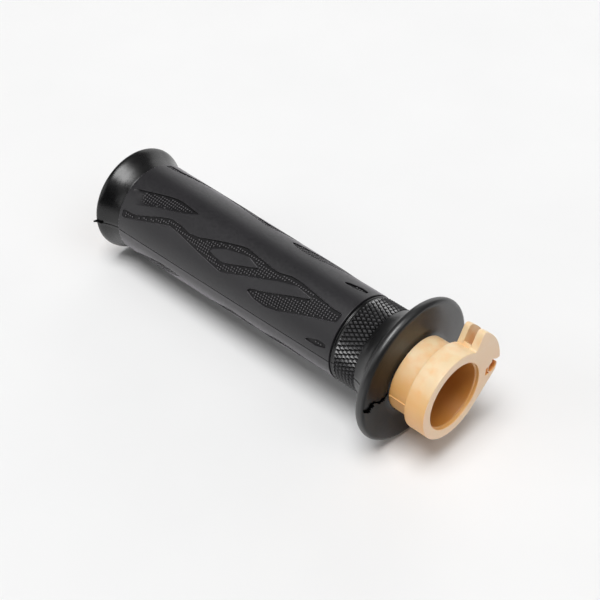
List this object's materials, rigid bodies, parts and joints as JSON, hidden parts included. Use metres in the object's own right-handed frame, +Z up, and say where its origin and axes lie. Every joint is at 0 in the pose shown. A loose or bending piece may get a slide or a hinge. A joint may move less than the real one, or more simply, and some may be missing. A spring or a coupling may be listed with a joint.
{
  "type": "throttle grip",
  "caption": "Motorcycle twist throttle grip: a hard tube with a cable drum, bonded inside a flanged rubber grip with a knurled band and a dotted tread.",
  "frame": {"origin": "on the bore axis, in the plane of the flange's face that looks at the drum", "axes": "+X along the bore from the flared end towards the cable drum, +Z up with the drum's cable sector at the upper right seen from the drum end"},
  "size_m": [0.1473, 0.05, 0.05],
  "materials": {
    "tube_nylon": "smooth moulded natural nylon, semi-matt",
    "core_rubber": "moulded rubber with a low gloss",
    "sleeve_rubber": "matt soft rubber"
  },
  "bodies": {
    "root": {"throttle_tube": "tube_nylon", "grip_core": "core_rubber", "grip_sleeve": "sleeve_rubber"}
  },
  "joints": []
}
